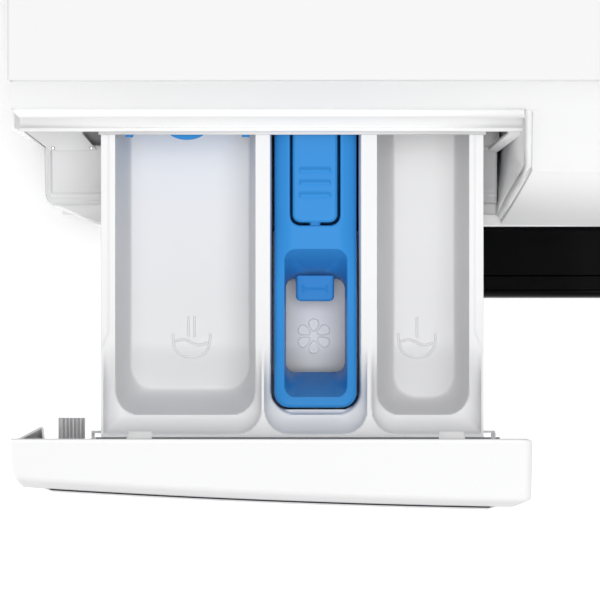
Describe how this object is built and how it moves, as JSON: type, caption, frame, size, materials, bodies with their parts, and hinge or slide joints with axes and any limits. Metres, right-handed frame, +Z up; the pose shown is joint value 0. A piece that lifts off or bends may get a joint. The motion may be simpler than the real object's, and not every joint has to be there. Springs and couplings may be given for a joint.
{
  "type": "front load washing machine",
  "caption": "White front load washing machine with its detergent drawer pulled out: blue softener insert, round black door, steel drum, drive, pump and feet.",
  "frame": {"origin": "on the floor under the feet, below the middle of the box holding the machine and its open drawer", "axes": "+Z up, the front and the drawer face -Y, +X is the right side seen from the front"},
  "size_m": [0.598, 0.709, 0.848],
  "materials": {
    "white_enamel": "smooth gloss enamel",
    "white_plastic": "satin moulded plastic",
    "white_laminate": "fine satin laminate",
    "tray_plastic": "satin moulded plastic",
    "blue_plastic": "satin moulded plastic",
    "grey_plastic": "matt moulded plastic",
    "clip_plastic": "matt moulded plastic",
    "black_gloss": "high gloss",
    "dark_window": "high gloss, tinted",
    "door_glass": "clear pressed glass",
    "seal_rubber": "matt",
    "foot_rubber": "matt",
    "drum_steel": "satin stainless",
    "zinc_steel": "galvanised",
    "fastener_steel": "zinc plated",
    "tub_plastic": "glass filled, matt",
    "weight_iron": "rough cast",
    "knob_chrome": "spun satin",
    "board_green": "coated laminate"
  },
  "bodies": {
    "root": {"side_panel_left": "white_enamel", "side_panel_right": "white_enamel", "rear_panel": "zinc_steel", "rear_cover": "zinc_steel", "base_tray": "grey_plastic", "feet": "foot_rubber", "foot_nuts": "fastener_steel", "worktop": "white_laminate", "front_panel": "white_enamel", "plinth_panel": "white_plastic", "fascia": "white_plastic", "display_window": "dark_window", "control_board": "board_green", "recess_panel": "white_plastic", "dispenser_housing": "tray_plastic", "water_distributor": "tray_plastic", "inlet_valve": "grey_plastic", "inlet_hose": "seal_rubber", "fill_bellows": "seal_rubber", "hinge_bracket": "fastener_steel", "door_lock": "grey_plastic", "tub_rear": "tub_plastic", "tub_front": "tub_plastic", "counterweight": "weight_iron", "door_gasket": "seal_rubber", "heater": "fastener_steel", "motor_stator": "fastener_steel", "drum_bearings": "fastener_steel", "tub_springs": "fastener_steel", "tub_dampers": "grey_plastic", "transit_bolts": "grey_plastic", "filter_housing": "grey_plastic", "drain_pump": "grey_plastic", "drain_hose": "seal_rubber", "mains_gland": "grey_plastic", "sump_hose": "seal_rubber"},
    "drawer": {"drawer_front": "white_plastic", "drawer_tray": "tray_plastic", "drawer_clips": "clip_plastic", "drawer_brackets": "grey_plastic", "softener_insert": "blue_plastic", "siphon_cover": "blue_plastic"},
    "flap": {"liquid_flap": "blue_plastic"},
    "door": {"door_bezel": "black_gloss", "door_frame": "grey_plastic", "door_glass": "door_glass", "door_window": "dark_window", "hinge_leaf": "fastener_steel"},
    "latch": {"latch_hook": "grey_plastic"},
    "drum": {"drum_shell": "drum_steel", "drum_back": "drum_steel", "drum_lifters": "drum_steel", "motor_rotor": "zinc_steel"},
    "impeller": {"pump_impeller": "clip_plastic"},
    "cap": {"filter_cap": "grey_plastic"},
    "service": {"service_flap": "white_plastic"},
    "knob": {"program_knob": "knob_chrome"},
    "power": {"power_button": "white_plastic"},
    "option": {"option_button": "white_plastic"},
    "start": {"start_button": "white_plastic"}
  },
  "joints": [
    {"name": "drawer_slide", "type": "slide", "parent": "root", "child": "drawer", "axis": [0, -1, 0], "range_m": [-0.1365, 0]},
    {"name": "flap_hinge", "type": "hinge", "parent": "drawer", "child": "flap", "pos_m": [-0.2258, -0.19603, 0.7655], "axis": [1, 0, 0], "range_deg": [0, 80]},
    {"name": "door_hinge", "type": "hinge", "parent": "root", "child": "door", "pos_m": [-0.227, -0.25353, 0.44], "axis": [0, 0, -1], "range_deg": [0, 150]},
    {"name": "latch_pivot", "type": "hinge", "parent": "door", "child": "latch", "pos_m": [0.199, -0.24252, 0.44], "axis": [0, 0, 1], "range_deg": [0, 4], "stiffness_Nm_per_rad": 0.4, "springref_deg": -2.86},
    {"name": "drum_spin", "type": "hinge", "parent": "root", "child": "drum", "pos_m": [0, 0.02448, 0.44], "axis": [0, 1, 0], "continuous": true},
    {"name": "impeller_spin", "type": "hinge", "parent": "root", "child": "impeller", "pos_m": [0.19, -0.09152, 0.066], "axis": [0, 1, 0], "continuous": true},
    {"name": "cap_turn", "type": "hinge", "parent": "root", "child": "cap", "pos_m": [0.19, -0.21552, 0.066], "axis": [0, -1, 0], "range_deg": [0, 90]},
    {"name": "service_hinge", "type": "hinge", "parent": "root", "child": "service", "pos_m": [0.19, -0.22692, 0.0272], "axis": [1, 0, 0], "range_deg": [0, 85]},
    {"name": "knob_turn", "type": "hinge", "parent": "root", "child": "knob", "pos_m": [0.008, -0.19452, 0.7935], "axis": [0, -0.8633, 0.5046], "continuous": true},
    {"name": "power_press", "type": "slide", "parent": "root", "child": "power", "axis": [0, 0.8643, -0.503], "range_m": [0, 0.0015], "stiffness_N_per_m": 700, "springref_m": -0.0004},
    {"name": "option_press", "type": "slide", "parent": "root", "child": "option", "axis": [0, 0.896, -0.444], "range_m": [0, 0.0015], "stiffness_N_per_m": 700, "springref_m": -0.0004},
    {"name": "start_press", "type": "slide", "parent": "root", "child": "start", "axis": [0, 0.9051, -0.4253], "range_m": [0, 0.0015], "stiffness_N_per_m": 700, "springref_m": -0.0004}
  ]
}
